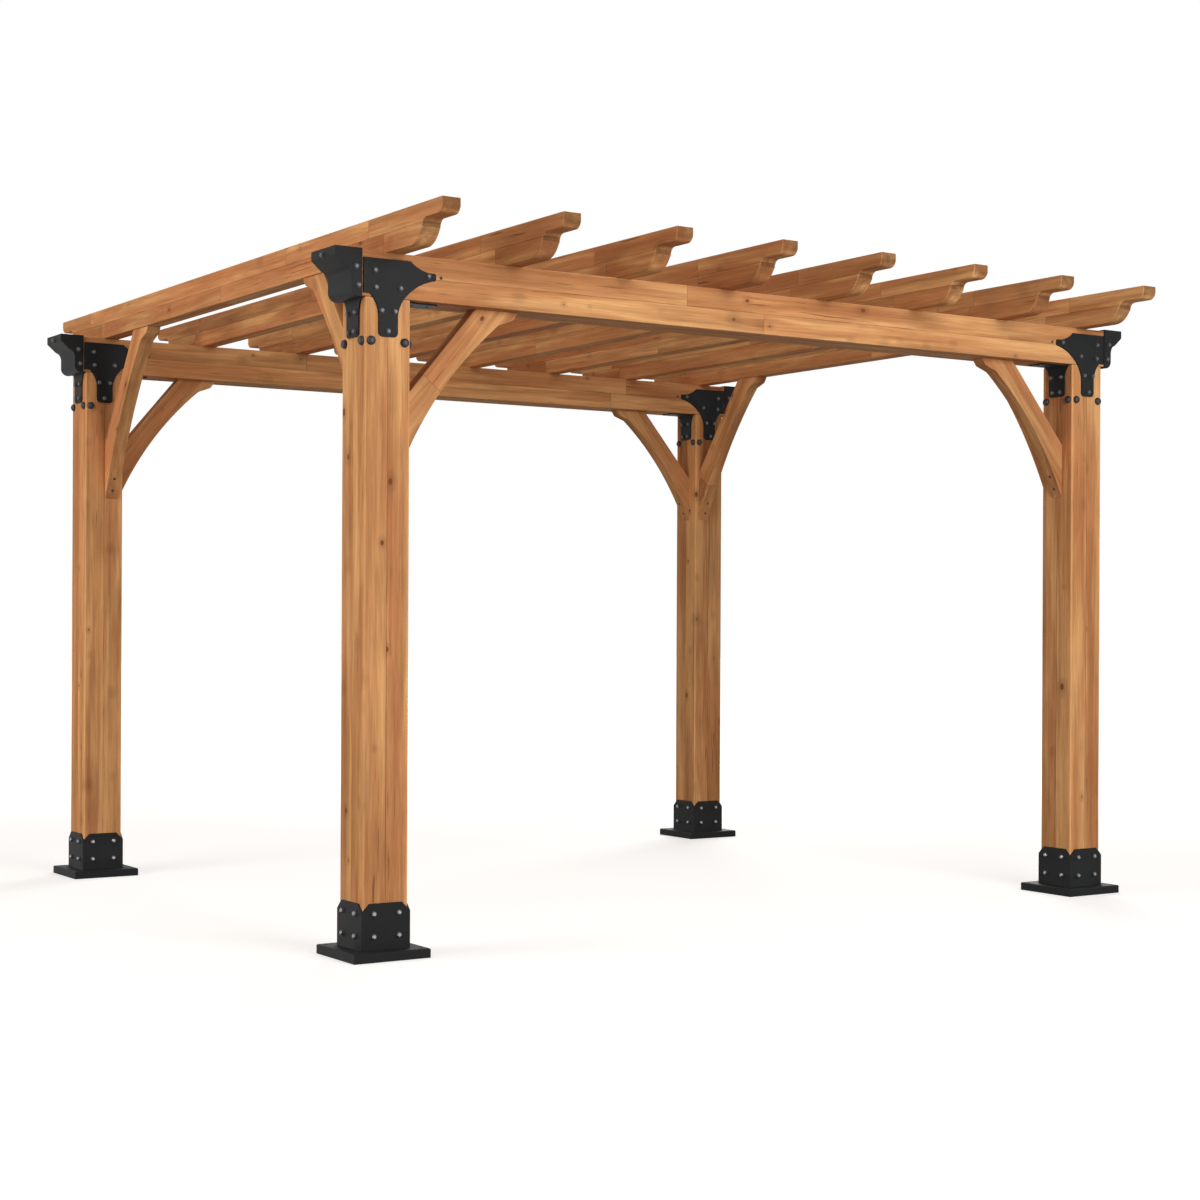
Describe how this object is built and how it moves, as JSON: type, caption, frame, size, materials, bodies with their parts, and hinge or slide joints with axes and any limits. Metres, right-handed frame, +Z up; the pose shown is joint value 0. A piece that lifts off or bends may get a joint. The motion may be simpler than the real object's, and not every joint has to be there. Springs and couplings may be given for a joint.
{
  "type": "wooden pergola",
  "caption": "Open timber pergola with square posts in black steel bases, two capped beams, shaped rafters across them and arched knee braces.",
  "frame": {"origin": "on the ground, at the centre of the four posts", "axes": "+Z up, X along the two beams, Y along the rafters, front towards -Y"},
  "size_m": [3.37, 3.289, 2.28],
  "materials": {
    "post_timber": "stained, satin",
    "beam_timber": "stained, satin",
    "rafter_timber": "stained, satin",
    "brace_timber": "stained, satin",
    "black_steel": "fine textured powder coat, matt"
  },
  "bodies": {
    "root": {"front_left_post": "post_timber", "front_right_post": "post_timber", "rear_left_post": "post_timber", "rear_right_post": "post_timber", "front_left_base": "black_steel", "front_right_base": "black_steel", "rear_left_base": "black_steel", "rear_right_base": "black_steel", "front_left_beam_brace": "brace_timber", "front_right_beam_brace": "brace_timber", "rear_left_beam_brace": "brace_timber", "rear_right_beam_brace": "brace_timber", "front_left_rafter_brace": "brace_timber", "front_right_rafter_brace": "brace_timber", "rear_left_rafter_brace": "brace_timber", "rear_right_rafter_brace": "brace_timber", "front_left_outer_plate": "black_steel", "front_right_outer_plate": "black_steel", "rear_left_outer_plate": "black_steel", "rear_right_outer_plate": "black_steel", "front_left_inner_plate": "black_steel", "front_right_inner_plate": "black_steel", "rear_left_inner_plate": "black_steel", "rear_right_inner_plate": "black_steel", "front_left_end_cap": "black_steel", "front_right_end_cap": "black_steel", "rear_left_end_cap": "black_steel", "rear_right_end_cap": "black_steel", "front_left_angle": "black_steel", "front_right_angle": "black_steel", "rear_left_angle": "black_steel", "rear_right_angle": "black_steel", "front_beam": "beam_timber", "rear_beam": "beam_timber", "rafter_1": "rafter_timber", "rafter_2": "rafter_timber", "rafter_3": "rafter_timber", "rafter_4": "rafter_timber", "rafter_5": "rafter_timber", "rafter_6": "rafter_timber", "rafter_7": "rafter_timber", "rafter_8": "rafter_timber"}
  },
  "joints": []
}
